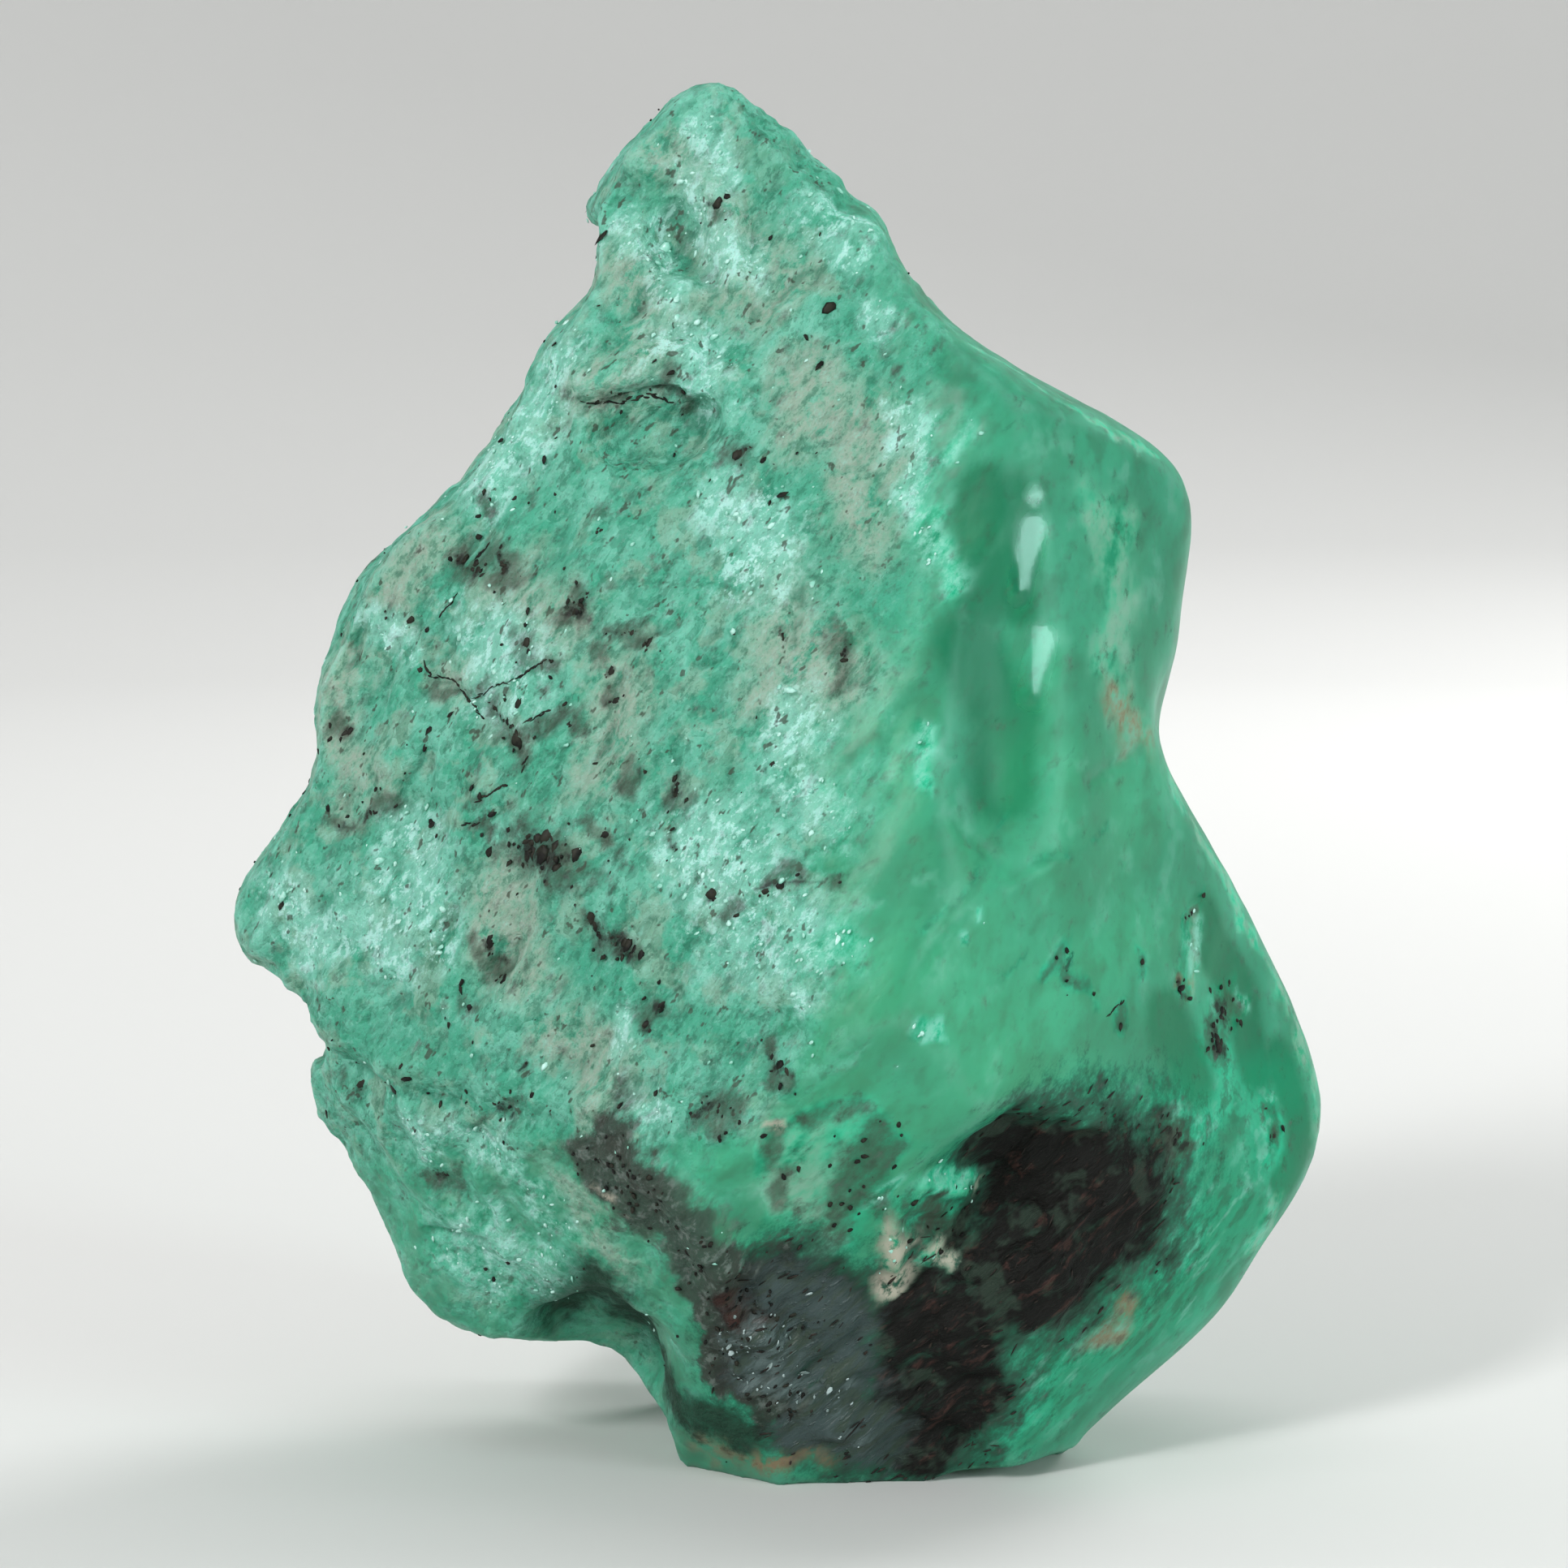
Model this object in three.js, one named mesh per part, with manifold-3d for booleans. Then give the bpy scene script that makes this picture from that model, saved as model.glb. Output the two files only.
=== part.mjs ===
// A raw emerald: one natural fragment of beryl with dark mica schist grown through its foot.
// Millimetres, +Z up, standing on its broken base at z = 0, with its best face towards -Y.
//
// The stone is made as nature made it. A rounded block is grown from the front outline, and then
// each break takes away what lies outside it: large breaks leave broad, rippled faces that meet
// in ridges, and small scoops leave conchoidal hollows, notches and dimples.
import * as THREE from "three";
import { ImprovedNoise } from "three/addons/math/ImprovedNoise.js";
import { mergeVertices } from "three/addons/utils/BufferGeometryUtils.js";
import Module from "manifold-3d";

const wasm = await Module();
wasm.setup();

// Driving dimensions
const HEART = { x: 0.2, z: 15 }; // the outline is drawn round this point
const FRONT_DEPTH = 10.8; // how far the block swells towards -Y
const BACK_DEPTH = 9.6; // and towards +Y
const RIM_LEAN = -0.07; // the right side of the rim lies nearer the viewer
const ROUND = { across: 0.86, through: 0.8 }; // under 1 is fuller than an ellipsoid
const BLOCK_STEPS = { around: 180, through: 16 };
const OUTLINE_STEPS = 900;
const CALM = { window: 0.03, from: 0.04, to: 0.6 }; // away from the rim the outline softens
const TOOL = { side: 72, steps: 56 }; // a break's cutting block, and the grid on its face
const BOWL = 10; // a break's hollow is measured over this distance from its middle
const RIPPLE = { depth: 0.34, length: 5.2, fineDepth: 0.16, fineLength: 2.1, layer: 7.3 };
const SCOOP_DETAIL = 8;
const WOBBLE = { share: 0.22, length: 2.6, layer: 5.1 };
const NEIGHBOURS = [-1, -0.5, 0, 0.5, 1]; // where the calm outline looks, in windows
const WELD = 1e-4;

// The front outline, [x, z], clockwise from the tip. It runs on below z = 0, where the base is cut.
const OUTLINE = [
  [-2.3, 34.05], [-1.15, 33.85], [-0.3, 33.15], [1.25, 31.75], [2.3, 30.85], [2.8, 29.85], [3.85, 28.45],
  [6.1, 26.95], [9, 25.35], [9.9, 24.55], [10.1, 23.05], [9.75, 21.05], [9.65, 19.25], [9.2, 18.05],
  [9.95, 16.45], [11.85, 13.35], [12.85, 11.35], [13.6, 9.55], [13.9, 8.35], [13.6, 7.45], [12.05, 5.45],
  [11.05, 3.65], [9.35, 2.15], [7.5, 0.55], [5.5, -2.15], [1.65, -3.65], [-1.45, -2.95], [-2.5, -0.35],
  [-3.35, 1.35], [-4.75, 2.65], [-6.4, 2.55], [-8.2, 2.85], [-9.45, 3.75], [-9.85, 5.25], [-10.85, 7.05],
  [-12.05, 9.25], [-11.55, 10.55], [-12.25, 11.85], [-13.5, 12.55], [-13.8, 13.75], [-12.65, 15.65],
  [-11.75, 17.25], [-11.5, 19.65], [-10.75, 21.45], [-9.55, 22.95], [-7.7, 24.55], [-6.7, 26.15],
  [-5.9, 27.75], [-4.65, 29.15], [-4.75, 30.95], [-3.95, 32.35], [-3, 33.45],
];

// Broad breaks. Each passes through a point and faces outwards. `hollow` is how far its middle
// sinks into the stone, and a negative one swells out of it.
const BREAKS = {
  frostedFace: { at: [-4.5, -5.2, 18.6], facing: [-0.46, -1, 0.2], hollow: -0.25 },
  lowerFrostedFace: { at: [-3.4, -7.1, 12.2], facing: [-0.55, -1, 0.06], hollow: -0.2 },
  knobFace: { at: [-0.6, -2.9, 30.6], facing: [-0.12, -1, 0.3], hollow: 0.15 },
  tipFace: { at: [2.9, -2.6, 30.2], facing: [1, -1, 1.5], hollow: 0 },
  glassyFace: { at: [7.0, -6.1, 22.4], facing: [0.66, -1, 0.3], hollow: 0.1 },
  bulgeSide: { at: [8.9, -3.6, 21.6], facing: [1.2, -1, 0.1], hollow: 0.5 },
  broadFace: { at: [6.6, -6.1, 12.8], facing: [0.8, -1, 0.12], hollow: -0.35 },
  rightFlank: { at: [12.7, -1.9, 9.8], facing: [1, -0.5, 0.18], hollow: 0 },
  lowerRightFace: { at: [7.6, -4.9, 4.4], facing: [0.74, -1, -0.46], hollow: 0.3 },
  schistFace: { at: [0.6, -6.7, 5.4], facing: [0.05, -1, -0.44], hollow: 0.3 },
  lobeFace: { at: [-7.2, -4.1, 6.8], facing: [-0.62, -1, -0.62], hollow: 0.25 },
  lobeEdge: { at: [-10.1, -1.6, 7.0], facing: [-1, -0.8, -0.5], hollow: 0 },
  backFace: { at: [0.6, 7.6, 14], facing: [0.06, 1, 0.06], hollow: 0.4 },
  backUpperFace: { at: [-0.6, 4.6, 26], facing: [-0.14, 1, 0.46], hollow: 0.3 },
  backRightFace: { at: [8.6, 5.6, 13.5], facing: [0.86, 1, 0.12], hollow: 0.3 },
  backLeftFace: { at: [-8.6, 6.3, 14], facing: [-0.86, 1, 0.1], hollow: 0.3 },
  backFootFace: { at: [1.4, 5.6, 3.4], facing: [0.1, 1, -0.42], hollow: 0.3 },
};

// Scoops: uneven balls of half-axes `size`, turned by `turn` degrees about Y, then `lean` about Z.
const SCOOPS = {
  glassyChannel: { at: [6.4, -12.1, 21.8], size: [3.5, 6.6, 10.4], turn: 2, lean: 6, rough: 0.05 },
  bulgeScoop: { at: [12.6, -5.9, 21.9], size: [3.2, 4.4, 4.2], turn: -4, lean: 0 },
  rightNotch: { at: [11.6, -3.2, 18.1], size: [2.4, 4.2, 1.6], turn: 30, lean: 20 },
  leftNotch: { at: [-13.7, -1.6, 11.0], size: [2.5, 5.6, 1.3], turn: 14, lean: -20 },
  tipNick: { at: [-6.5, -0.6, 29.9], size: [2.1, 5.0, 1.0], turn: -14, lean: -10 },
  knobDimple: { at: [-2.8, -4.0, 30.6], size: [1.3, 2.1, 2.0], turn: -30, lean: 0 },
  underLip: { at: [-3.7, -7.5, 25.7], size: [3.8, 4.1, 1.7], turn: -12, lean: 0 },
  footHollow: { at: [-5.4, -5.4, 1.1], size: [3.0, 5.2, 3.7], turn: 30, lean: 0 },
  footLedge: { at: [-1.9, -8.4, -0.9], size: [3.4, 4.0, 2.3], turn: 8, lean: 0 },
  footCorner: { at: [6.2, -7.6, -1.7], size: [6.2, 6.4, 2.5], turn: -8, lean: 24 },
  schistTrough: { at: [5.0, -10.9, 6.2], size: [7.0, 5.4, 3.2], turn: -38, lean: 14 },
  backHollow: { at: [-3.4, 11.0, 19.5], size: [4.8, 4.6, 6.0], turn: 34, lean: 0 },
  backScoop: { at: [6.4, 9.8, 8.2], size: [4.4, 4.2, 3.4], turn: -24, lean: 0 },
};

const BASE = { at: [1.5, 0, 0], facing: [0, 0, -1], hollow: 0, ripple: 0 };

const noise = new ImprovedNoise();

// A closed three.js geometry as a solid that can be cut.
function solidFrom(geometry) {
  const bare = geometry.clone();
  bare.deleteAttribute("normal");
  bare.deleteAttribute("uv");
  const merged = mergeVertices(bare, WELD);
  const mesh = new wasm.Mesh({
    numProp: 3,
    vertProperties: new Float32Array(merged.attributes.position.array),
    triVerts: new Uint32Array(merged.index.array),
  });
  return new wasm.Manifold(mesh);
}

// And back again, with the middle of its footprint at the origin.
function geometryFrom(solid) {
  const mesh = solid.getMesh();
  const geometry = new THREE.BufferGeometry();
  geometry.setAttribute("position", new THREE.BufferAttribute(mesh.vertProperties, 3));
  geometry.setIndex(new THREE.BufferAttribute(mesh.triVerts, 1));
  geometry.computeBoundingBox();
  const middle = geometry.boundingBox.getCenter(new THREE.Vector3());
  geometry.translate(-middle.x, -middle.y, 0);
  geometry.computeVertexNormals();
  return geometry;
}

// Moves every point of a geometry by a rule.
function reshape(geometry, rule) {
  const position = geometry.getAttribute("position");
  const point = new THREE.Vector3();
  for (let i = 0; i < position.count; i++) {
    point.fromBufferAttribute(position, i);
    rule(point);
    position.setXYZ(i, point.x, point.y, point.z);
  }
}

// The front outline as a closed curve round the heart of the stone.
function outlineCurve() {
  const corners = OUTLINE.map(([x, z]) => new THREE.Vector3(x - HEART.x, 0, z - HEART.z));
  const curve = new THREE.CatmullRomCurve3(corners, true, "centripetal");
  curve.arcLengthDivisions = OUTLINE_STEPS;
  return curve;
}

// A point of the outline, drawn towards the middle of its neighbours as `calm` goes to 1.
function outlinePoint(curve, share, calm) {
  const soft = new THREE.Vector3();
  for (const step of NEIGHBOURS) soft.add(curve.getPointAt((share + step * CALM.window + 1) % 1));
  return curve.getPointAt(share).lerp(soft.divideScalar(NEIGHBOURS.length), calm);
}

// The unbroken block: a ball whose rim follows the outline and which swells towards -Y and +Y.
function grownBlock() {
  const curve = outlineCurve();
  const ball = new THREE.SphereGeometry(1, BLOCK_STEPS.around, BLOCK_STEPS.through);
  reshape(ball, (p) => {
    const turned = Math.atan2(p.z, p.x) / (2 * Math.PI);
    const calm = THREE.MathUtils.smoothstep(Math.abs(p.y), CALM.from, CALM.to);
    const edge = outlinePoint(curve, (2 - turned) % 1, calm);
    const aside = Math.min(1, Math.hypot(p.x, p.z)) ** ROUND.across;
    const depth = (p.y < 0 ? FRONT_DEPTH : BACK_DEPTH) * Math.abs(p.y) ** ROUND.through;
    const x = HEART.x + edge.x * aside;
    p.set(x, Math.sign(p.y) * depth + RIM_LEAN * x, HEART.z + edge.z * aside);
  });
  return solidFrom(ball);
}

// What a broad break takes away: all that lies outside its rippled face.
function breakTool({ at, facing, hollow, ripple = 1 }, order) {
  const tool = new THREE.BoxGeometry(TOOL.side, TOOL.side, TOOL.side, TOOL.steps, TOOL.steps, 1);
  const layer = order * RIPPLE.layer; // each break reads its own slice of the noise
  const wave = (p, length) => noise.noise(p.x / length, p.y / length, layer);
  reshape(tool, (p) => {
    if (p.z > 0) return;
    const bowl = hollow * (1 - (p.x * p.x + p.y * p.y) / (BOWL * BOWL));
    const broad = RIPPLE.depth * wave(p, RIPPLE.length);
    const fine = RIPPLE.fineDepth * wave(p, RIPPLE.fineLength);
    p.z -= bowl + (broad + fine) * ripple;
  });
  const out = new THREE.Vector3(...facing).normalize();
  const middle = new THREE.Vector3(...at).addScaledVector(out, TOOL.side / 2);
  const turn = new THREE.Quaternion().setFromUnitVectors(new THREE.Vector3(0, 0, 1), out);
  tool.applyMatrix4(new THREE.Matrix4().compose(middle, turn, new THREE.Vector3(1, 1, 1)));
  return solidFrom(tool);
}

// What a scoop takes away.
function scoopTool({ at, size, turn, lean, rough = WOBBLE.share }, order) {
  const tool = new THREE.IcosahedronGeometry(1, SCOOP_DETAIL);
  tool.scale(...size);
  tool.rotateY(THREE.MathUtils.degToRad(turn));
  tool.rotateZ(THREE.MathUtils.degToRad(lean));
  const layer = order * WOBBLE.layer;
  reshape(tool, (p) => {
    const near = p.clone().divideScalar(WOBBLE.length);
    p.multiplyScalar(1 + rough * noise.noise(near.x + layer, near.y, near.z));
  });
  tool.translate(...at);
  return solidFrom(tool);
}

function brokenStone() {
  const tools = [
    ...Object.values(BREAKS).map(breakTool),
    ...Object.values(SCOOPS).map(scoopTool),
    breakTool(BASE, 0),
  ];
  return geometryFrom(tools.reduce((stone, tool) => stone.subtract(tool), grownBlock()));
}

const emerald = new THREE.Mesh(
  brokenStone(),
  new THREE.MeshStandardMaterial({ color: 0x5aae8c, roughness: 0.4, metalness: 0 }),
);
emerald.name = "emerald_stone";

const part = new THREE.Group();
part.name = "raw_emerald";
part.add(emerald);

export default part;
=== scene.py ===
import math

import bmesh
import bpy
import numpy as np
from mathutils import Matrix, Vector, noise
from mathutils.bvhtree import BVHTree


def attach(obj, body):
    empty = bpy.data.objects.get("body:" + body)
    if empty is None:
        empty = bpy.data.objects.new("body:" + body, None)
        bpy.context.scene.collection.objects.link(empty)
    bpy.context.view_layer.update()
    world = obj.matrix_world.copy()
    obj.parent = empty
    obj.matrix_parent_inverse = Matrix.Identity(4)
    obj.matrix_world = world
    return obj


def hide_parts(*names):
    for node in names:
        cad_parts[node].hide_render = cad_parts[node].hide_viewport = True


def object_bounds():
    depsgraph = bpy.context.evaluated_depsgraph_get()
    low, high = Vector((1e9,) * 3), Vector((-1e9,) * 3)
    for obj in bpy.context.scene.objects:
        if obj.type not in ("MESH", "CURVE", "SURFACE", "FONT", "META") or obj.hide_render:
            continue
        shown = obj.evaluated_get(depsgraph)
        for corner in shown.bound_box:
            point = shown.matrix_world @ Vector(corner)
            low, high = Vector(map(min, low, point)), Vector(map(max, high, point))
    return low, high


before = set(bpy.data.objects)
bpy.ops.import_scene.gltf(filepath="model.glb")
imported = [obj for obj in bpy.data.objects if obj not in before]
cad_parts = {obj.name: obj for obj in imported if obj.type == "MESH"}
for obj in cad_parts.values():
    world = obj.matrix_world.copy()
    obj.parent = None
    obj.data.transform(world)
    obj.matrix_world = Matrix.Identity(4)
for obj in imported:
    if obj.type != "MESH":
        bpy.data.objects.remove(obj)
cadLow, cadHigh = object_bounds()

# The scene is in metres. The tables are in millimetres, in the stone's own frame:
# X to the right, Y away from the viewer, Z up from the broken base.
mm = 0.001
scene = bpy.context.scene


# Small helpers
def addObject(name, mesh):
    piece = bpy.data.objects.new(name, mesh)
    scene.collection.objects.link(piece)
    return piece


def smooth(values, low, high):
    share = np.clip((values - low) / (high - low), 0, 1)
    return share * share * (3 - 2 * share)


def unit(vector):
    return vector / max(np.linalg.norm(vector), 1e-9)


def segmentDistance(points, start, end):
    along = end - start
    share = np.clip((points - start) @ along / max(along @ along, 1e-9), 0, 1)
    return np.linalg.norm(points - start - share[:, None] * along, axis=1)


def cloud(points, frequency, seed):
    shift = np.array((seed * 3.17, seed * 1.73, seed * 2.39))
    return np.array([noise.noise(Vector(p)) for p in points * frequency + shift])


# Turns points so that their first axis runs at an angle above the horizontal in the front view.
def turned(points, degrees):
    angle = math.radians(degrees)
    c, s = math.cos(angle), math.sin(angle)
    return points @ np.array(((c, 0, s), (0, 1, 0), (-s, 0, c))).T


# The stone, and what lies where on it. Marks on the front are lines of (x, z) places.
stone = {
    "voxel": 0.171,          # size of the finest relief
    "grainAngle": 54,        # the crystal's long axis, degrees above the horizontal
    "fibreAngle": 40,        # and the schist's
    "ledge": 0.28,           # height of the broken steps on the frosted face
    "sugar": 0.042,          # and of its grain
    "ripple": 0.05,          # soft waves on the glassy faces
    "schistLump": 0.30,
    "schistFibre": 0.12,
    "softening": 70,         # rounds of smoothing that melt the edges of the glassy faces
    "polishing": 0.88,       # how flat the polished spots are, 1 for quite flat
    "pitDepth": 0.14,
    "schistSink": 0.10,      # how far the schist lies below the crystal
    "ridgeGrain": 0.12,
    "markReach": 1.6,        # a mark fades out at this many of its radii
}

eye = (0, -107.71, 28.13)    # where the stone is looked at from, and the camera's place
sight = {"rise": 1.025, "drop": -0.8, "nearer": -3}

# The crest that parts the frosted face from the glassy ones: x at each z.
crest = (
    (-1.5, 9), (0.4, 10.5), (1.2, 13), (1.2, 16), (1.7, 18.5),
    (2.7, 21), (3.4, 24), (3.6, 27), (2.7, 30), (1.0, 34),
)

# (places, radius)
schistMarks = [
    (((5.9, 8.0), (7.8, 7.7), (9.0, 6.9)), 1.55),
    (((6.3, 6.5), (7.8, 6.2)), 1.9),
    (((5.3, 5.3), (6.8, 4.8)), 1.6),
    (((3.7, 4.0), (5.0, 3.8)), 1.5),
    (((3.2, 2.4), (4.4, 2.3)), 1.45),
    (((2.6, 1.1), (3.8, 1.1)), 1.3),
    (((0.2, 4.5), (1.4, 4.2), (-0.5, 2.9), (1.5, 2.7), (0.8, 1.4), (2.0, 0.9)), 1.20),
]
slateMarks = [
    (((0.2, 4.4), (1.3, 4.0)), 1.3),
    (((-0.4, 2.9), (1.4, 2.6)), 1.4),
    (((0.7, 1.3), (1.9, 0.8)), 1.3),
]
glitterMarks = [
    (((1.6, 2.3), (1.5, 1.8)), 0.30),
    (((1.5, 1.1), (1.7, 0.7)), 0.32),
    (((-1.3, 3.5), (-0.2, 3.1)), 0.55),
    (((-0.9, 2.6), (0.4, 1.8)), 0.45),
]
ridgeMarks = [
    (((-4.3, 7.8), (-2.6, 6.1), (-0.9, 4.2)), 1.15),
    (((-1.6, 3.0), (-0.4, 1.9)), 0.70),
]
pitMarks = [(((-1.1, 4.5), (-0.8, 3.7)), 0.32)]
ringMarks = [
    (((1.0, 9.0), (1.6, 9.0), (2.1, 8.2)), 0.55),
    (((2.1, 8.2), (2.1, 7.2), (1.6, 6.2)), 0.75),
    (((-0.3, 8.6), (-0.2, 7.4), (0.4, 6.4)), 0.45),
    (((-4.2, 8.0), (-3.6, 7.6)), 0.45),
    (((2.9, 6.6), (3.6, 6.6), (4.3, 6.2)), 0.45),
]
# Painted shade: the hollow under the lobe and the underside of the foot.
shadeMarks = [
    (((-5.5, 4.3), (-4.5, 4.7), (-3.6, 3.9), (-3.0, 2.6)), 1.05),
    (((-2.7, 1.6), (-1.4, 1.2)), 1.0),
]
# Streaky crystal under the schist.
streakyMarks = [
    (((5.6, 1.6), (9.6, 4.4), (12.0, 7.6)), 1.9),
    (((9.6, 9.0), (12.6, 9.6)), 1.2),
    (((-9.6, 7.4), (-6.6, 4.6)), 1.2),
]
# The flat, well-polished spots in the channel: (centre line, half width above, and below).
polishMarks = [
    (((6.26, 24.2), (6.20, 24.1)), 0.20, 0.20),
    (((6.22, 23.4), (5.78, 21.8)), 0.36, 0.14),
    (((6.46, 20.7), (6.16, 19.4)), 0.42, 0.20),
]
polishFacing = (0.427, -0.891, 0.155)
# Greener patches in the frosted face.
mossMarks = [
    (((-3.8, 31.4), (-2.8, 30.8), (-2.0, 29.6)), 0.40), (((-2.4, 30.4), (-2.0, 29.5)), 0.35),
    (((-7.0, 24.2), (-5.6, 22.8)), 0.8), (((-3.6, 25.0), (-2.6, 24.2)), 0.6),
    (((0.4, 30.6), (1.6, 31.4), (2.2, 30.2)), 0.7), (((-6.2, 17.6), (-6.0, 16.6)), 0.6),
    (((2.6, 28.6), (4.0, 26.6)), 0.8), (((4.2, 25.4), (4.6, 22.6)), 0.7),
    (((-5.2, 12.6), (-3.0, 11.4)), 0.8), (((-10.6, 11.0), (-8.4, 10.6)), 0.7),
    (((0.2, 24.6), (1.4, 22.2)), 0.6), (((-1.6, 17.2), (-1.0, 15.2)), 0.7),
    (((2.6, 22.4), (2.9, 20.6)), 0.5), (((-8.6, 13.4), (-8.0, 12.0)), 0.6),
    (((-2.6, 11.2), (-1.2, 10.4)), 0.7), (((2.4, 27.0), (1.6, 28.4)), 0.6),
    (((0.2, 32.2), (1.2, 30.6)), 0.9),
]
rimMarks = [
    (((9.6, 17.2), (11.6, 13.9), (12.9, 11.3), (13.6, 8.6)), 0.42),
    (((11.9, 5.6), (13.3, 7.2)), 0.35),
    (((4.4, 28.0), (8.8, 25.4), (9.9, 24.2)), 0.22),
]
veinMarks = [
    (((5.6, 16.2), (4.4, 15.0), (3.8, 13.4)), 0.12),
    (((5.6, 15.0), (6.9, 15.5), (8.0, 16.2)), 0.11),
    (((7.6, 17.2), (8.8, 18.0)), 0.12),
    (((5.0, 11.9), (6.2, 13.0)), 0.12),
    (((-8.9, 6.0), (-7.6, 5.9)), 0.14),
]
buffMarks = [
    (((-2.7, 31.7), (-2.0, 30.8)), 0.9),
    (((-1.3, 30.3), (-0.6, 29.2)), 1.2),
    (((-4.0, 29.2), (-3.3, 28.4)), 0.9),
    (((-4.7, 26.6), (-3.2, 27.4)), 0.7),
    (((0.6, 26.3), (2.2, 25.6), (1.8, 23.4)), 1.1),
    (((-6.4, 22.0), (-5.5, 21.2)), 0.9),
    (((-8.9, 23.0), (-9.8, 21.8)), 0.7),
    (((-4.0, 19.2), (-4.4, 18.0)), 1.1),
    (((-10.9, 19.8), (-11.0, 18.2), (-10.6, 17.0)), 0.8),
    (((-8.4, 20.2), (-8.2, 19.9)), 0.5),
    (((1.4, 20.2), (-0.1, 19.7), (0.4, 22.0)), 1.0),
    (((-7.1, 14.4), (-6.7, 12.8)), 1.0),
    (((-5.4, 11.0), (-4.6, 9.8)), 0.8),
    (((-5.2, 6.8), (-4.5, 5.6)), 0.8),
    (((0.2, 8.2), (0.6, 6.6)), 1.0),
    (((8.1, 23.6), (8.2, 20.4)), 0.8),
    (((8.4, 20.0), (8.7, 18.4)), 0.7),
    (((8.7, 4.1), (8.1, 3.6)), 0.6),
    (((10.0, 13.6), (10.2, 12.2)), 0.45),
]
# Rusty brown patches; the one along the bottom edge is a painted reflection of a brown thing near the stone.
rustAndReflectionMarks = [
    (((8.4, 19.2), (8.7, 18.2)), 0.55),
    (((8.6, 4.0), (8.2, 3.7)), 0.45),
    (((-2.0, 0.5), (0.4, 0.4)), 0.5),
    (((10.1, 12.4), (9.9, 12.0)), 0.3),
]
paleMarks = [
    (((3.1, 25.9), (3.5, 25.0)), 0.50),
    (((2.3, 28.7), (2.5, 28.2)), 0.40),
    (((0.9, 30.5), (1.9, 30.2)), 0.65),
    (((-1.9, 32.5), (-1.5, 32.0)), 0.5),
    (((-1.3, 29.9), (-0.9, 29.7)), 0.5),
    (((-2.6, 27.5), (-2.0, 27.2)), 0.9),
    (((-5.6, 27.2), (-6.4, 25.4), (-7.4, 24.4)), 0.8),
    (((3.5, 24.2), (3.8, 22.8), (4.0, 22.0)), 0.5),
    (((-7.6, 21.0), (-7.0, 19.4), (-6.6, 20.6)), 0.9),
    (((-10.2, 21.2), (-9.6, 20.8)), 0.45),
    (((-9.6, 16.0), (-9.2, 15.5)), 0.6),
    (((-10.7, 14.2), (-10.0, 13.3), (-9.6, 13.0)), 0.75),
    (((-12.3, 12.9), (-11.8, 12.5)), 0.5),
    (((-4.3, 10.2), (-4.1, 11.2)), 0.28),
    (((-4.1, 9.3), (-3.1, 9.1)), 0.3),
    (((1.6, 13.4), (0.9, 13.4)), 0.8),
    (((0.6, 12.0), (0.7, 11.9)), 0.4),
    (((-0.9, 23.6), (-0.4, 22.4)), 0.9),
    (((0.6, 16.8), (0.6, 18.6)), 0.9),
    (((3.3, 18.2), (3.5, 17.8)), 0.4),
    (((3.7, 11.4), (3.9, 11.0)), 0.35),
    (((4.4, 13.3), (4.6, 13.1)), 0.18),
    (((4.7, 14.5), (4.8, 14.1)), 0.16),
    (((10.3, 13.4), (10.1, 13.0)), 0.35),
    (((11.2, 11.9), (11.4, 11.6)), 0.25),
    (((-8.7, 6.4), (-8.2, 6.3)), 0.3),
    (((-7.6, 7.3), (-7.0, 6.2)), 0.35),
    (((-8.2, 8.6), (-6.8, 7.8)), 0.6),
    (((-8.4, 5.2), (-7.2, 4.5)), 0.5),
    (((-6.2, 7.0), (-5.5, 6.2)), 0.5),
    (((-9.4, 9.0), (-9.0, 8.2)), 0.4),
    (((2.75, 6.6), (3.4, 7.4)), 0.36),
    (((3.6, 7.5), (4.3, 7.4)), 0.34),
    (((3.5, 5.4), (3.9, 5.8)), 0.20),
    (((-2.4, 31.2), (-1.2, 29.9)), 0.7),
    (((-3.6, 30.2), (-3.0, 29.0)), 0.6),
    (((-12.4, 14.2), (-11.4, 13.5)), 0.9),
    (((-9.6, 14.9), (-8.8, 13.4)), 0.8),
    (((-2.2, 15.6), (-1.0, 14.4), (-0.6, 13.4)), 1.2),
    (((-7.6, 6.0), (-6.2, 5.2)), 1.2),
]
creamMarks = [
    (((3.0, 6.0), (2.95, 5.3), (3.2, 4.9)), 0.42),
    (((3.9, 5.9), (4.0, 5.6)), 0.28),
    (((4.3, 7.15), (4.5, 6.95)), 0.20),
    (((-4.5, 7.1), (-4.3, 6.9)), 0.20),
    (((0.3, 6.7), (0.5, 6.5)), 0.22),
    (((-0.6, 9.0), (-0.2, 8.9)), 0.18),
]
deepMarks = [
    (((4.95, 24.3), (4.90, 21.6)), 0.75),
    (((4.6, 20.6), (5.1, 19.3)), 0.95),
    (((5.4, 19.0), (5.4, 16.9)), 0.95),
    (((5.8, 24.2), (5.9, 21.4)), 0.65),
    (((9.6, 11.2), (10.2, 10.2)), 1.0),
    (((10.4, 13.8), (11.4, 11.8), (11.8, 10.2)), 0.8),
    (((12.4, 10.4), (13.0, 8.6), (12.6, 7.4)), 0.6),
]
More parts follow.
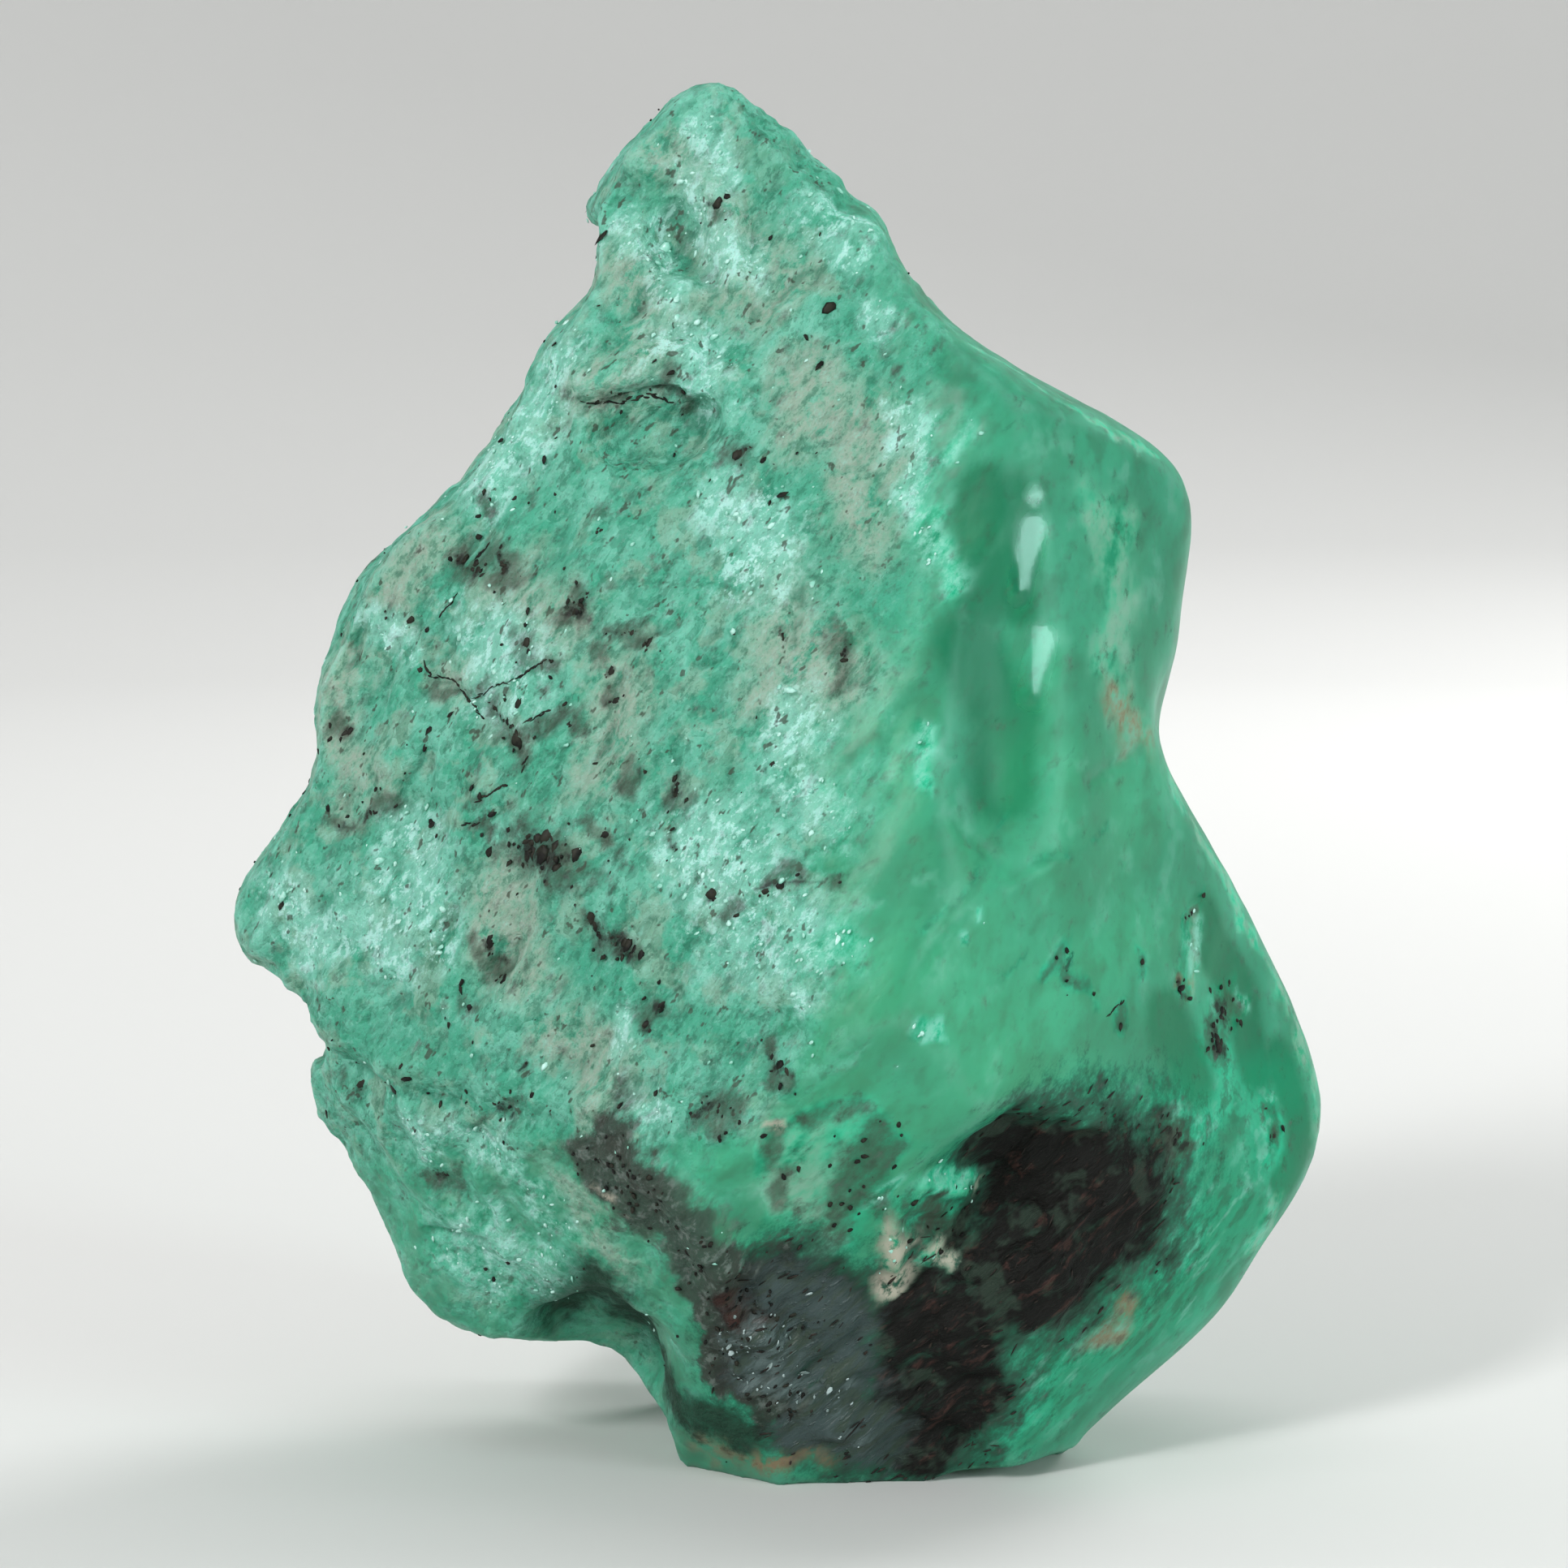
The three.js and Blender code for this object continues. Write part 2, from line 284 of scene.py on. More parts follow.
# Dark marks in the frosted face: (places, width).
micaMarks = [
    (((-8.1, 22.7), (-7.6, 22.3)), 0.30), (((-7.6, 22.7), (-7.3, 23.0)), 0.13),
    (((-7.0, 22.7), (-6.9, 22.4), (-7.0, 22.2)), 0.20), (((-8.5, 21.3), (-8.1, 21.8)), 0.10),
    (((-5.2, 21.3), (-4.8, 21.8)), 0.22), (((-6.4, 20.5), (-6.35, 20.55)), 0.24),
    (((-7.8, 19.2), (-7.1, 19.6), (-6.5, 19.8)), 0.06), (((-6.5, 19.8), (-5.9, 20.2)), 0.13),
    (((-8.9, 20.1), (-8.8, 19.8), (-8.2, 19.7), (-7.8, 19.2), (-7.5, 18.8)), 0.12),
    (((-7.2, 19.0), (-6.9, 18.7), (-6.7, 18.4), (-6.6, 18.0)), 0.15), (((-6.4, 18.7), (-5.8, 19.0)), 0.10),
    (((-5.4, 18.6), (-5.4, 18.7)), 0.20), (((-10.9, 18.5), (-10.8, 18.5)), 0.28),
    (((-11.1, 16.2), (-10.8, 16.1)), 0.16), (((-10.4, 16.4), (-10.2, 16.5)), 0.24),
    (((-6.5, 17.5), (-6.4, 17.8)), 0.13), (((-7.6, 16.8), (-6.9, 17.2)), 0.12),
    (((-3.7, 18.0), (-3.5, 17.7), (-3.5, 17.2)), 0.16), (((-4.4, 20.7), (-3.7, 20.9), (-3.0, 20.3)), 0.16),
    (((-4.4, 19.8), (-4.3, 19.9)), 0.22), (((-4.3, 19.2), (-4.2, 19.2)), 0.20),
    (((-2.7, 16.9), (-2.65, 17.0)), 0.16), (((-2.7, 15.6), (-2.7, 15.7)), 0.18),
    (((-4.5, 16.0), (-4.4, 16.05)), 0.16), (((-6.3, 15.7), (-5.8, 15.3)), 0.75),
    (((-5.3, 15.4), (-5.2, 15.5)), 0.24), (((-8.0, 16.2), (-7.6, 16.2)), 0.12),
    (((-6.9, 16.0), (-6.8, 16.05)), 0.14), (((-7.4, 15.4), (-7.3, 15.5)), 0.12),
    (((-4.6, 23.3), (-4.6, 23.35)), 0.14), (((-5.1, 22.0), (-5.2, 22.05)), 0.14),
    (((-5.7, 24.1), (-5.6, 24.2)), 0.12), (((-7.4, 24.0), (-7.3, 24.1)), 0.12),
    (((-4.9, 26.4), (-4.0, 26.4), (-3.2, 26.6), (-2.8, 26.4)), 0.13),
    (((-1.2, 25.0), (-0.9, 25.4)), 0.24), (((-1.8, 31.2), (-1.6, 31.1)), 0.18),
    (((-0.1, 20.8), (0.0, 20.8)), 0.24), (((1.5, 20.7), (1.5, 20.2)), 0.20),
    (((-0.3, 17.6), (-0.3, 17.7)), 0.14), (((-1.8, 14.4), (-1.8, 14.5)), 0.20),
    (((-0.6, 14.6), (1.5, 14.8)), 0.16), (((-3.1, 11.8), (-3.0, 11.7)), 0.26),
    (((-3.5, 11.1), (-3.4, 11.3)), 0.28), (((-0.4, 10.5), (0.1, 10.1)), 0.24),
    (((-4.9, 13.9), (-4.6, 13.4)), 0.30), (((-4.3, 13.4), (-3.6, 12.9)), 0.34),
    (((-7.4, 13.5), (-7.2, 12.9)), 0.20), (((-7.1, 12.5), (-7.0, 12.4)), 0.28),
    (((-7.9, 11.7), (-7.8, 11.7)), 0.14), (((-6.6, 10.2), (-6.5, 10.3)), 0.16),
    (((-7.3, 9.2), (-7.2, 9.3)), 0.20), (((-7.1, 8.9), (-6.9, 9.0)), 0.14),
    (((-4.3, 9.3), (-4.1, 9.3)), 0.18), (((-10.6, 9.8), (-10.5, 9.8)), 0.22),
    (((-8.6, 7.6), (-8.5, 7.6)), 0.24), (((7.1, 12.6), (7.25, 13.0)), 0.16),
    (((8.1, 11.5), (8.5, 11.9)), 0.09), (((9.0, 12.7), (9.05, 12.8)), 0.12),
    (((10.0, 13.8), (10.2, 14.1)), 0.16), (((10.9, 11.7), (11.0, 11.5)), 0.42),
    (((10.8, 10.8), (10.9, 10.7)), 0.50), (((9.9, 12.2), (9.95, 12.1)), 0.24),
    (((12.2, 8.4), (12.3, 8.6)), 0.24), (((9.7, 8.7), (10.1, 8.3)), 0.34),
    (((-2.4, 9.1), (-1.6, 9.3)), 0.26),
]
# Raised (+) and sunken (-) lines: places, half width, height.
reliefMarks = [
    (((-4.8, 26.75), (-3.6, 27.3), (-2.4, 27.5)), 0.75, 0.34),                  # ledge lip
    (((-4.9, 26.3), (-4.0, 26.5), (-3.2, 26.7), (-2.7, 26.6)), 0.32, -0.42),    # crack under it
    (((-8.8, 19.8), (-7.9, 19.4), (-7.3, 18.9), (-6.5, 18.0)), 0.24, -0.14),
    (((-10.7, 9.7), (-9.3, 7.5), (-6.9, 5.8)), 0.9, 0.25),
    (((-11.0, 11.0), (-9.4, 10.3), (-6.4, 9.6), (-3.6, 9.2)), 0.75, 0.14),
    (((-10.8, 10.2), (-9.0, 9.5), (-6.4, 8.9), (-4.0, 8.5)), 0.7, -0.14),
    (((-7.7, 7.6), (-6.9, 6.2)), 0.35, 0.16),
    (((-8.9, 6.2), (-7.4, 6.0)), 0.25, -0.14),
    (((-4.0, 31.6), (-2.9, 30.9), (-1.9, 29.4)), 0.80, -0.24),                  # groove in the knob
    (((-3.6, 32.0), (-2.0, 31.9), (-1.2, 30.6), (-1.2, 29.2)), 0.5, 0.25),
    (((-3.9, 8.6), (-2.2, 6.4), (-0.5, 3.6)), 0.9, 0.40),
    (((-1.2, 4.9), (-0.8, 4.0)), 0.5, -0.45),
    (((2.8, 5.0), (2.8, 6.5), (3.4, 7.4), (4.4, 7.2)), 0.40, 0.28),             # rim of the pale grain
    (((3.3, 6.3), (4.0, 6.3)), 0.4, -0.25),
    (((-5.6, 4.0), (-4.4, 4.2), (-3.4, 2.8)), 1.0, -0.45),                      # hollow under the lobe
    (((4.2, 16.4), (5.4, 15.2), (4.0, 13.6), (3.2, 12.4)), 0.30, -0.08),
    (((7.6, 17.2), (8.9, 18.0)), 0.22, -0.10),
    (((5.7, 14.6), (7.0, 15.4)), 0.25, 0.08),
]


def mergedStone():
    work = bmesh.new()
    work.from_mesh(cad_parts["emerald_stone"].data)
    bmesh.ops.remove_doubles(work, verts=work.verts, dist=1e-4 * mm)
    mesh = bpy.data.meshes.new("roughStone")
    work.to_mesh(mesh)
    work.free()
    rough = addObject("roughStone", mesh)
    remesh = rough.modifiers.new("remesh", "REMESH")
    remesh.mode = "VOXEL"
    remesh.voxel_size = stone["voxel"] * mm
    remesh.use_smooth_shade = True
    depsgraph = bpy.context.evaluated_depsgraph_get()
    fine = bpy.data.meshes.new_from_object(rough.evaluated_get(depsgraph))
    bpy.data.objects.remove(rough)
    return addObject("emerald", fine)


def readPoints(mesh):
    points = np.empty(len(mesh.vertices) * 3)
    normals = np.empty(len(mesh.vertices) * 3)
    mesh.vertices.foreach_get("co", points)
    mesh.vertices.foreach_get("normal", normals)
    return points.reshape(-1, 3) / mm, normals.reshape(-1, 3)


def surfaceTree(mesh):
    return BVHTree.FromPolygons([v.co for v in mesh.vertices], [p.vertices for p in mesh.polygons])


# Spreads values over neighbouring points, so that only their broad changes are left.
def spread(mesh, values, rounds):
    edges = np.empty(len(mesh.edges) * 2, int)
    mesh.edges.foreach_get("vertices", edges)
    first, second = edges.reshape(-1, 2).T
    count = len(mesh.vertices)
    near = np.bincount(first, minlength=count) + np.bincount(second, minlength=count)
    columns = list(values.T)
    for _ in range(rounds):
        for index, column in enumerate(columns):
            total = np.bincount(first, column[second], count) + np.bincount(second, column[first], count)
            columns[index] = 0.5 * column + 0.5 * total / near
    return np.array(columns).T


# Where places in the front view meet the stone, on the lines of sight from the eye.
# A line of sight meets the upright plane through the middle a little off the place's height.
def onFront(tree, places):
    spots = []
    for x, z in places:
        behind = Vector((x, 0, sight["rise"] * z + sight["drop"]))
        hit = tree.ray_cast(Vector(eye) * mm, (behind - Vector(eye)).normalized())[0]
        if hit is None:
            hit = tree.find_nearest((behind + Vector((0, sight["nearer"], 0))) * mm)[0]
        spots.append(np.array(hit) / mm)
    return spots


# 1 in the core of the marks, falling to 0 well past their radius.
def nearMarks(points, tree, marks, core=0.2):
    cover = np.zeros(len(points))
    for places, radius in marks:
        spots = onFront(tree, places)
        for start, end in zip(spots, spots[1:]):
            share = segmentDistance(points, start, end) / (stone["markReach"] * radius)
            cover = np.maximum(cover, 1 - smooth(share, core, 1))
    return cover


# Where each kind of surface lies, as one field of 0 to 1 per kind.
def stoneFields(mesh, points, normals, tree):
    wobble = np.stack([cloud(points, 0.55, seed) for seed in (1, 2, 3)], axis=1)
    grain = turned(points, stone["grainAngle"]) * (0.5, 1, 1)
    torn = np.stack([cloud(grain, 2.1, seed) for seed in (4, 5, 6)], axis=1)
    loose = points + 0.6 * wobble
    ragged = points + 0.7 * wobble + 0.45 * torn

    crestPlaces, crestHeights = np.array(crest, float).T
    fromCrest = np.interp(loose[:, 2], crestHeights, crestPlaces) - loose[:, 0]
    lobe = smooth(9.4 - loose[:, 2] + 0.10 * loose[:, 0], -1.4, 1.6)
    front = smooth(-points[:, 1] + 0.25 * np.maximum(points[:, 0], 0) - 0.02 * points[:, 2], -2.5, -0.5)
    back = 1 - front
    deep = nearMarks(points + 0.25 * wobble, tree, deepMarks, 0.1)
    frontFrost = smooth(fromCrest, -2.8, 2.8) * (1 - 0.48 * lobe) * (1 - 0.8 * deep)
    backFrost = smooth(cloud(points, 0.11, 7) + 0.30 * cloud(points, 0.5, 8), -0.40, 0.25)
    frost = frontFrost * front + backFrost * back

    schist = nearMarks(ragged, tree, schistMarks)
    backSchist = cloud(points, 0.16, 9) + 0.35 * torn[:, 0]
    schist = np.maximum(schist, smooth(backSchist, 0.30, 0.52) * back)
    micaHalo = [(places, 1.1 * width + 0.16) for places, width in micaMarks]
    smokeMarks = [(places, 1.55 * radius) for places, radius in schistMarks]
    smoke = np.maximum(nearMarks(loose, tree, smokeMarks, 0.25), smooth(backSchist, 0.15, 0.50) * back)
    dusk = np.maximum(nearMarks(ragged, tree, ringMarks), nearMarks(ragged, tree, micaHalo))
    dusk = np.maximum(dusk, smooth(cloud(ragged, 0.65, 23), 0.38, 0.62) * backFrost * back)
    backBuff = smooth(cloud(ragged, 0.30, 24), 0.10, 0.45) * back
    buff = np.maximum(nearMarks(ragged, tree, buffMarks), backBuff)
    backPale = smooth(cloud(ragged, 0.45, 25), 0.22, 0.50) * back
    pale = np.maximum(nearMarks(ragged, tree, paleMarks), backPale)
    bow = ((points - spread(mesh, points, 14)) * normals).sum(axis=1)
    blotMarks = [(places, 0.85 * width) for places, width in micaMarks if width >= 0.14]
    shinyMarks = [(places, above) for places, above, below in polishMarks]
    return {
        "polish": nearMarks(points, tree, shinyMarks, 0.45),
        "streaky": nearMarks(loose, tree, streakyMarks, 0.1),
        "blot": nearMarks(points + 0.25 * torn, tree, blotMarks, 0.05),
        "glitter": nearMarks(loose, tree, glitterMarks),
        "shade": nearMarks(loose, tree, shadeMarks, 0.1),
        "rim": nearMarks(ragged, tree, rimMarks),
        "vein": nearMarks(loose, tree, veinMarks, 0.1),
        "moss": nearMarks(ragged, tree, mossMarks),
        "frost": frost * (1 - 0.6 * smooth(schist, 0.3, 0.8)),
        "schist": schist,
        "smoke": smoke,
        "slate": nearMarks(loose, tree, slateMarks),
        "ridge": nearMarks(ragged, tree, ridgeMarks),
        "pit": nearMarks(loose, tree, pitMarks, 0.5),
        "dusk": dusk,
        "buff": buff,
        "rustAndReflection": nearMarks(ragged, tree, rustAndReflectionMarks),
        "pale": pale,
        "cream": nearMarks(ragged, tree, creamMarks, 0.2),
        "deep": deep,
        # Raised places are painted lighter (painted light) and hollows darker (painted shade).
        "raisedLight": smooth(bow, 0.015, 0.10),
        "hollow": smooth(-bow, 0.015, 0.12),
    }


def stoneRelief(points, fields, tree):
    grain = turned(points, stone["grainAngle"])
    fibre = turned(points, stone["fibreAngle"])
    frost, schist = fields["frost"], fields["schist"]
    ledges = cloud(grain * (0.35, 0.8, 1.0), 1.0, 11) + 0.4 * np.abs(cloud(grain * (0.8, 1.6, 2.0), 1.0, 12))
    sugar = cloud(grain * (2.0, 2.9, 3.0), 1.0, 13) + 0.8 * cloud(points, 3.8, 14)
    pits = smooth(cloud(grain * (0.7, 1.1, 1.1), 1.0, 15), 0.30, 0.55)
    ripples = cloud(points, 0.33, 16) + 0.35 * cloud(grain * (0.25, 1.0, 1.6), 1.0, 17)
    lumps = cloud(points, 0.8, 18) + 0.5 * cloud(points, 1.9, 19)
    fibres = cloud(fibre * (0.5, 2.4, 2.8), 1.0, 20)
    lift = frost * (stone["ledge"] * ledges + stone["sugar"] * sugar - stone["pitDepth"] * pits)
    lift += (1 - frost) * (1 - schist) * stone["ripple"] * ripples
    lift += schist * (stone["schistLump"] * lumps + stone["schistFibre"] * fibres - stone["schistSink"])
    lift += fields["ridge"] * stone["ridgeGrain"] * cloud(fibre * (1.5, 3, 3), 1.0, 21)
    for places, width, height in reliefMarks:
        spots = onFront(tree, places)
        near = np.min([segmentDistance(points, a, b) for a, b in zip(spots, spots[1:])], axis=0)
        lift += height * (1 - smooth(near / width, 0, 1))
    return lift * smooth(points[:, 2], 0.0, 0.5)


# Flattens the polished spots: points near each line are drawn onto a plane through its middle.
def polished(points, tree):
    facing = unit(np.array(polishFacing))
    for places, above, below in polishMarks:
        spots = np.array(onFront(tree, places))
        halfWidth = np.interp(points[:, 2], spots[::-1, 2], (below, above))
        near = segmentDistance(points, *spots) / halfWidth
        height = (points - spots.mean(axis=0)) @ facing
        pull = stone["polishing"] * (1 - smooth(near, 0.7, 2.4)) * height
        points = points - pull[:, None] * facing
    return points


def saveField(mesh, name, values):
    field = mesh.attributes.new(name, "FLOAT", "POINT")
    field.data.foreach_set("value", values.astype(np.float32))


# Moves the stone's points, and keeps them inside the box of the solid that it stands for.
def movePoints(mesh, points):
    kept = np.clip(points, np.array(cadLow) / mm, np.array(cadHigh) / mm)
    mesh.vertices.foreach_set("co", (kept * mm).ravel())
    mesh.update()


def makeStone():
    emerald = mergedStone()
    mesh = emerald.data
    points, normals = readPoints(mesh)
    tree = surfaceTree(mesh)
    fields = stoneFields(mesh, points, normals, tree)
    lifted = smooth(points[:, 2], 0.2, 1.0)
    glassy = (1 - fields["frost"]) * (1 - smooth(fields["schist"], 0.2, 0.7)) * lifted
    melted = spread(mesh, points, stone["softening"]) - points
    movePoints(mesh, points + melted * glassy[:, None])
    points, normals = readPoints(mesh)
    points = points + normals * stoneRelief(points, fields, tree)[:, None]
    movePoints(mesh, polished(points, surfaceTree(mesh)))
    points, normals = readPoints(mesh)
    # The finest raised and sunken places: painted light on the raised ones, painted shade in the sunken ones.
    bow = ((points - spread(mesh, points, 5)) * normals).sum(axis=1)
    fields["crown"] = smooth(bow, 0.0, 0.06)
    fields["dip"] = smooth(-bow, 0.0, 0.06)
    for name, values in fields.items():
        saveField(mesh, name, values)
    return emerald, fields


emerald, stoneField = makeStone()
emeraldTree = surfaceTree(emerald.data)
print("stone:", len(emerald.data.vertices), "points,", len(emerald.data.polygons), "faces")


# Shader wires: expressions on values add Math nodes.
class Wire:
    def __init__(self, paint, socket):
        self.paint = paint
        self.socket = socket

    def maths(self, operation, first, second):
        return self.paint.node("ShaderNodeMath", {"operation": operation}, {0: first, 1: second})

    def __add__(self, other):
        return self.maths("ADD", self, other)

    def __sub__(self, other):
        return self.maths("SUBTRACT", self, other)

    def __rsub__(self, other):
        return self.maths("SUBTRACT", other, self)

    def __mul__(self, other):
        return self.maths("MULTIPLY", self, other)

    __radd__ = __add__
    __rmul__ = __mul__


class Paint:
    def __init__(self, name):
        self.material = bpy.data.materials.new(name)
        self.material.use_nodes = True
        self.tree = self.material.node_tree
        self.tree.nodes.clear()

    def node(self, kind, settings=None, sockets=None, output=0):
        made = self.tree.nodes.new(kind)
        for key, value in (settings or {}).items():
            setattr(made, key, value)
        for key, value in (sockets or {}).items():
            if isinstance(value, Wire):
                self.tree.links.new(value.socket, made.inputs[key])
            else:
                made.inputs[key].default_value = value
        return Wire(self, made.outputs[output]) if made.outputs else made

    def field(self, name):
        return self.node("ShaderNodeAttribute", {"attribute_name": name}, output=2)

    def step(self, value, low, high):
        settings = {"interpolation_type": "SMOOTHSTEP"}
        return self.node("ShaderNodeMapRange", settings, {0: value, 1: low, 2: high})

    def blend(self, share, first, second):
        first, second = [c if isinstance(c, Wire) else (*c, 1) for c in (first, second)]
        return self.node("ShaderNodeMix", {"data_type": "RGBA"}, {0: share, 6: first, 7: second}, output=2)

    # Object coordinates in millimetres, turned in the front view, then stretched.
    def place(self, degrees=0, stretch=(1, 1, 1)):
        spot = self.node("ShaderNodeTexCoord", output=3)
        angles = (0, math.radians(degrees), 0)
        turnedSpot = self.node("ShaderNodeMapping", {"vector_type": "POINT"}, {0: spot, 2: angles})
        scale = tuple(s / mm for s in stretch)
        return self.node("ShaderNodeVectorMath", {"operation": "MULTIPLY"}, {0: turnedSpot, 1: scale})

    def cloud(self, where, scale, detail=3, rough=0.6):
        values = {"Vector": where, "Scale": scale, "Detail": detail, "Roughness": rough}
        return self.node("ShaderNodeTexNoise", None, values)

    def bump(self, height, strength, depth):
        values = {"Height": height, "Strength": strength, "Distance": depth * mm}
        return self.node("ShaderNodeBump", None, values)

    def surface(self, values):
        return self.node("ShaderNodeBsdfPrincipled", None, values)

    def mixShader(self, share, first, second):
        return self.node("ShaderNodeMixShader", None, {0: share, 1: first, 2: second})

    def finish(self, shader, volume=None):
        ends = {"Surface": shader}
        if volume:
            ends["Volume"] = volume
        self.node("ShaderNodeOutputMaterial", None, ends)
        return self.material


beryl = {
    "dark": (0.022, 0.150, 0.090),
    "green": (0.060, 0.360, 0.235),
    "mid": (0.125, 0.450, 0.325),
    "pale": (0.260, 0.620, 0.500),
    "glint": (0.480, 0.810, 0.750),
    "buff": (0.240, 0.410, 0.310),
    "pink": (0.340, 0.410, 0.340),
    "cream": (0.460, 0.430, 0.350),
    "dusk": (0.050, 0.060, 0.042),
    "blot": (0.012, 0.011, 0.009),
    "glass": (0.010, 0.350, 0.185),
    "glow": (0.030, 0.540, 0.310),
    "deep": (0.001, 0.270, 0.130),
    "vein": (0.010, 0.150, 0.075),
    "rustAndReflection": (0.300, 0.190, 0.110),
    "stain": (0.020, 0.060, 0.040),
    "shade": (0.014, 0.055, 0.033),
    "schist": (0.006, 0.006, 0.005),
    "schistRed": (0.046, 0.022, 0.018),
    "schistGreen": (0.032, 0.054, 0.038),
    "ridge": (0.040, 0.046, 0.038),
    "ash": (0.160, 0.200, 0.180),
    "slate": (0.036, 0.060, 0.059),
    "slatePale": (0.120, 0.170, 0.165),
    "clear": (0.260, 0.800, 0.540),
    "clearDeep": (0.050, 0.480, 0.250),
    "clarity": 0.60,         # share of clear crystal in the glassy faces
    "absorb": (0.08, 0.90, 0.48),
    "absorbPerMetre": 90,
}


def emeraldMaterial():
    paint = Paint("roughEmerald")
    where = paint.place()
    grain = paint.place(stone["grainAngle"], (0.58, 1, 1))
    fibre = paint.place(stone["fibreAngle"], (0.25, 1, 1))
    frost, schist, slate = paint.field("frost"), paint.field("schist"), paint.field("slate")
    ridge, pit, deep = paint.field("ridge"), paint.field("pit"), paint.field("deep")
    dusk, buff, pale = paint.field("dusk"), paint.field("buff"), paint.field("pale")
    rustAndReflection, cream, raisedLight, hollow = (paint.field(n) for n in ("rustAndReflection", "cream", "raisedLight", "hollow"))
    crown, dip, shade = paint.field("crown"), paint.field("dip"), paint.field("shade")
    rim, vein, glitter = paint.field("rim"), paint.field("vein"), paint.field("glitter")
    polish = paint.field("polish")

    # frosted skin
    broad = paint.cloud(where, 0.35, 3, 0.55)
    patch = paint.cloud(grain, 1.1, 4, 0.65)
    streak = paint.cloud(grain, 3.4, 4, 0.70)
    fine = paint.cloud(grain, 8.0, 3, 0.65)
    granules = {"Vector": grain, "Scale": 4.5}
    chance = paint.node("ShaderNodeTexVoronoi", None, granules, 1)
    granule = paint.node("ShaderNodeTexVoronoi", None, granules, 0)
    frosty = paint.step(frost + (patch - 0.5) * 1.1, 0.12, 0.88)
    tint = paint.cloud(where, 0.85, 4, 0.62)
    skin = paint.blend(paint.step(patch, 0.40, 0.58), beryl["green"], beryl["mid"])
    skin = paint.blend(paint.step(broad, 0.50, 0.36) * 0.5, skin, beryl["green"])
    skin = paint.blend(paint.step(tint, 0.50, 0.60) * 0.70, skin, beryl["buff"])
    skin = paint.blend(paint.step(tint, 0.45, 0.34) * 0.35, skin, beryl["pale"])
    skin = paint.blend(paint.step(chance, 0.62, 0.70) * 0.20, skin, beryl["pale"])
    skin = paint.blend(paint.step(chance, 0.36, 0.28) * 0.30, skin, beryl["dark"])
    skin = paint.blend(buff * paint.step(patch, 0.34, 0.54) * 0.9, skin, beryl["buff"])
    skin = paint.blend(buff * paint.step(streak, 0.44, 0.58) * 0.7, skin, beryl["pink"])
    skin = paint.blend(paint.field("moss") * paint.step(patch, 0.30, 0.55) * 0.8, skin, beryl["green"])
    skin = paint.blend(paint.step(streak, 0.47, 0.36) * 0.55, skin, beryl["dark"])
    skin = paint.blend(paint.step(streak, 0.55, 0.70) * 0.45, skin, beryl["pale"])
    # Painted shade in dips and hollows, and painted light on crowns and raised places.
    skin = paint.blend(paint.step(dip + hollow * 0.8, 0.20, 1.2) * 0.60, skin, beryl["dark"])
    skin = paint.blend(paint.step(crown + raisedLight * 0.8, 0.35, 1.4) * 0.35, skin, beryl["pale"])
    skin = paint.blend(pale * paint.step(patch, 0.34, 0.54) * 0.70, skin, beryl["pale"])
    skin = paint.blend(pale * paint.step(streak, 0.50, 0.60) * 0.75, skin, beryl["glint"])
    skin = paint.blend(paint.step(fine, 0.58, 0.68) * (pale * 0.70 + 0.12), skin, beryl["glint"])
    skin = paint.blend(paint.step(fine, 0.41, 0.32) * 0.35, skin, beryl["dark"])

    # hazy body under the glassy faces
    mottle = paint.cloud(grain, 0.55, 4, 0.6)
    hazy = paint.blend(paint.step(mottle, 0.38, 0.64), beryl["glass"], beryl["glow"])
    hazy = paint.blend(paint.step(patch, 0.54, 0.70) * 0.40, hazy, beryl["pale"])
    hazy = paint.blend(paint.step(patch, 0.46, 0.34) * 0.40, hazy, beryl["vein"])
    hazy = paint.blend(paint.step(streak, 0.44, 0.34) * 0.20, hazy, beryl["vein"])
    grown = paint.cloud(fibre, 1.9, 4, 0.65)
    streaky = paint.field("streaky")
    hazy = paint.blend(streaky * paint.step(grown, 0.48, 0.38) * 0.7, hazy, beryl["vein"])
    hazy = paint.blend(streaky * paint.step(grown, 0.54, 0.66) * 0.5, hazy, beryl["pale"])
    deep = paint.step(deep + (patch - 0.5) * 0.9, 0.10, 0.80)
    hazy = paint.blend(deep, hazy, beryl["deep"])
    # Painted light on the raised places of the glassy faces.
    hazy = paint.blend(raisedLight * 0.3, hazy, beryl["pale"])
    hazy = paint.blend(vein * paint.step(streak, 0.36, 0.60) * 0.7, hazy, beryl["vein"])
    hazy = paint.blend(buff * paint.step(patch, 0.34, 0.62) * 0.8, hazy, beryl["buff"])
    hazy = paint.blend(rim * paint.step(streak, 0.36, 0.58) * 0.7, hazy, beryl["buff"])
    hazy = paint.blend(pale * paint.step(streak, 0.36, 0.60) * 0.7, hazy, beryl["pale"])
    body = paint.blend(frosty, hazy, skin)
